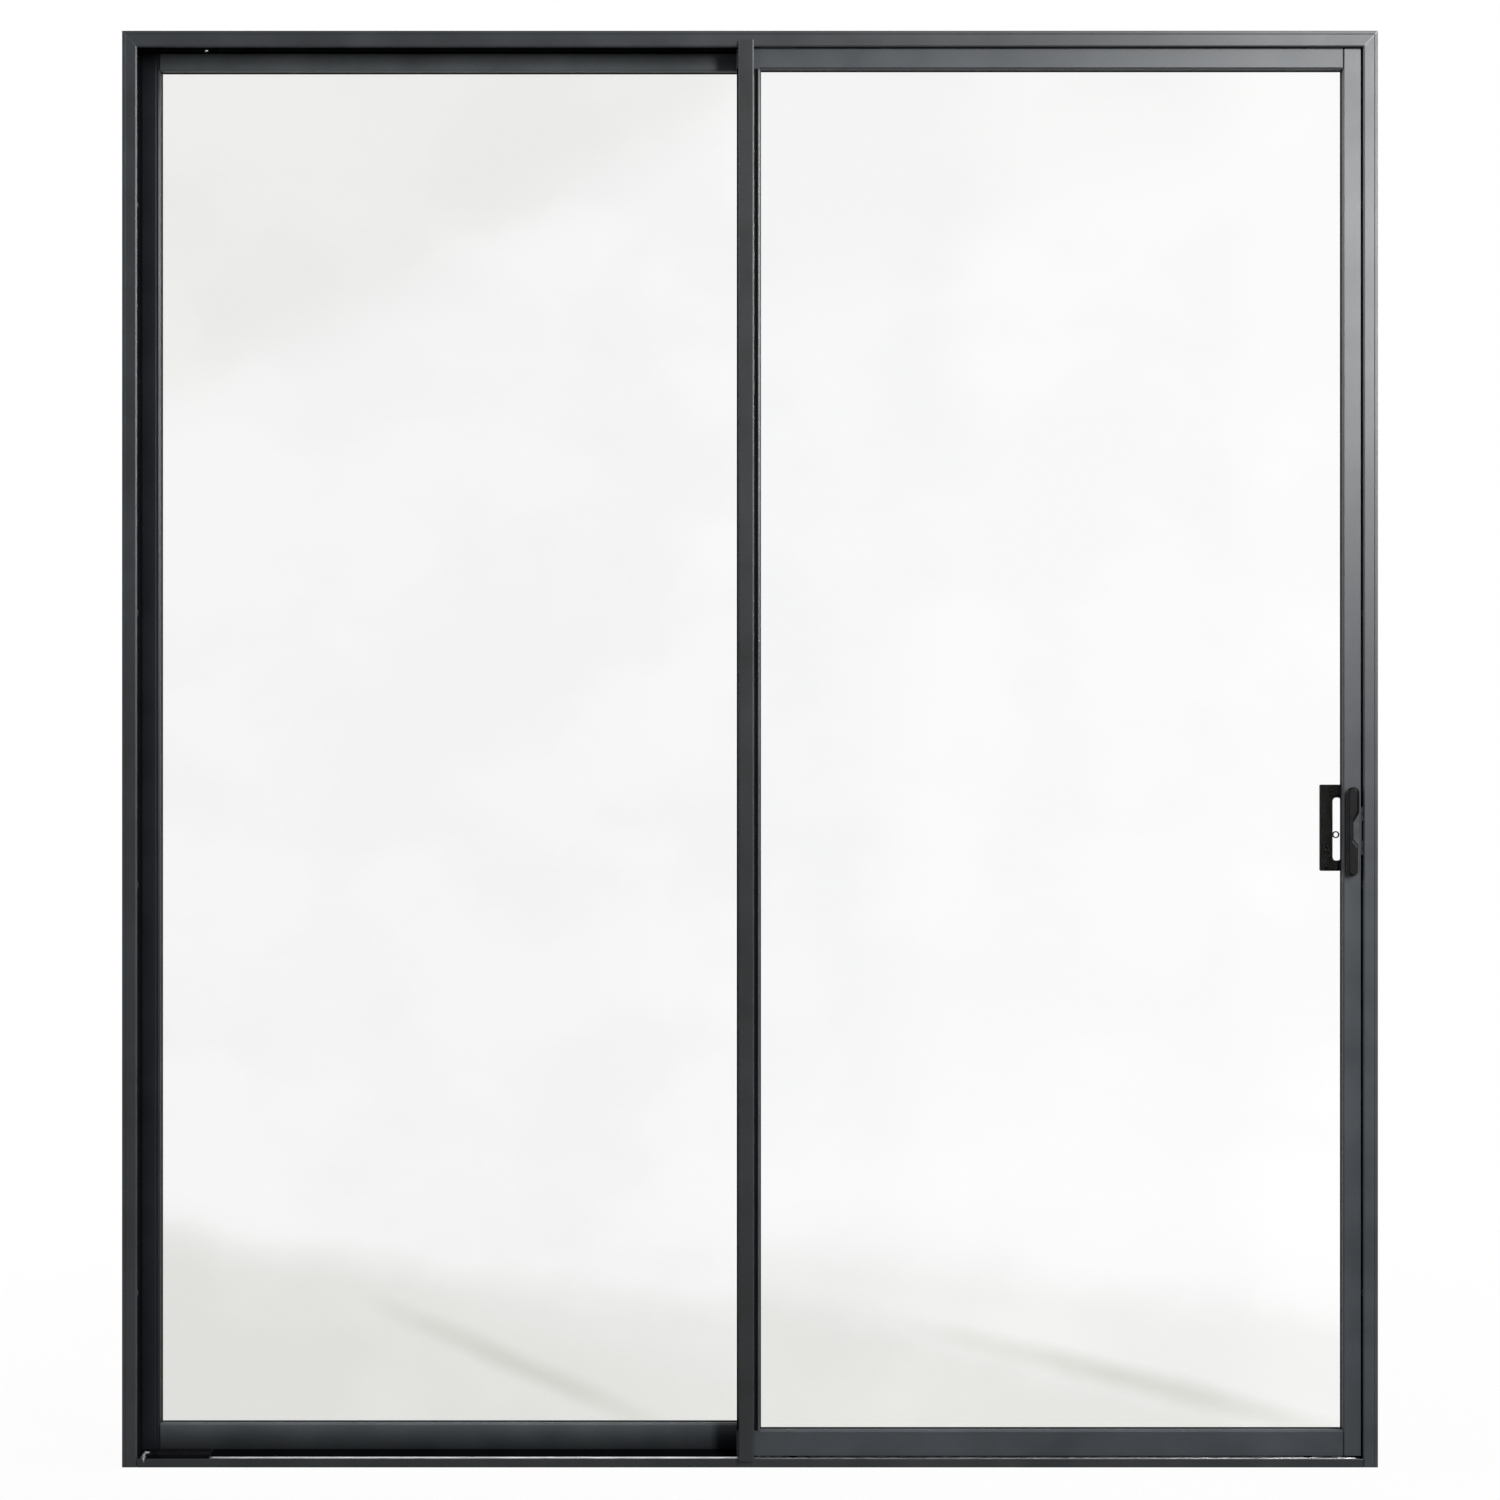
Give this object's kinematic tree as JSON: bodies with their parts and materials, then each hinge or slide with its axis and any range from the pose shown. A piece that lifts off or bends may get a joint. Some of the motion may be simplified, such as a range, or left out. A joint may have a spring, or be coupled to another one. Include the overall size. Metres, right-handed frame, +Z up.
{
  "type": "glass sliding patio door",
  "caption": "Charcoal aluminium patio door: a fixed glazed panel and a rolling glazed panel in one frame, with interlocking meeting stiles, pull handles and a track.",
  "frame": {"origin": "on the flat underside of the sill, at the middle of the door's width and of the frame's depth", "axes": "+X to the right seen from the room, +Y outwards away from the room, +Z up"},
  "size_m": [1.836, 0.109, 2.1],
  "materials": {
    "charcoal_coat": "charcoal satin fine-texture powder coat on extruded aluminium",
    "glass": "clear toughened float glass",
    "rubber": "black glazing gasket",
    "track_metal": "bright stainless wear cap",
    "lock_steel": "brushed stainless",
    "stop_black": "black moulded buffer",
    "nylon": "dark moulded nylon",
    "handle_black": "black satin coated die casting"
  },
  "bodies": {
    "frame": {"head": "charcoal_coat", "sill": "charcoal_coat", "jamb_left": "charcoal_coat", "jamb_right": "charcoal_coat", "roller_track": "track_metal", "open_stop": "stop_black", "keeper": "lock_steel", "fixed_left_stile": "charcoal_coat", "fixed_meeting_stile": "charcoal_coat", "fixed_top_rail": "charcoal_coat", "fixed_bottom_rail": "charcoal_coat", "fixed_glass": "glass", "fixed_gasket_front": "rubber", "fixed_gasket_rear": "rubber"},
    "sliding_panel": {"lock_stile": "charcoal_coat", "meeting_stile": "charcoal_coat", "sliding_top_rail": "charcoal_coat", "sliding_bottom_rail": "charcoal_coat", "sliding_glass": "glass", "sliding_gasket_front": "rubber", "sliding_gasket_rear": "rubber", "interlock_cover": "charcoal_coat", "roller_left": "nylon", "roller_right": "nylon", "roller_carriage_left": "nylon", "roller_carriage_right": "nylon", "top_guide_left": "nylon", "top_guide_right": "nylon", "handle_plate": "handle_black", "inner_pull": "handle_black", "outer_pull": "handle_black", "lock_eye": "handle_black", "lock_faceplate": "lock_steel"}
  },
  "joints": [
    {"name": "panel_slide", "type": "slide", "parent": "frame", "child": "sliding_panel", "axis": [-1, 0, 0], "range_m": [0, 0.766]}
  ]
}
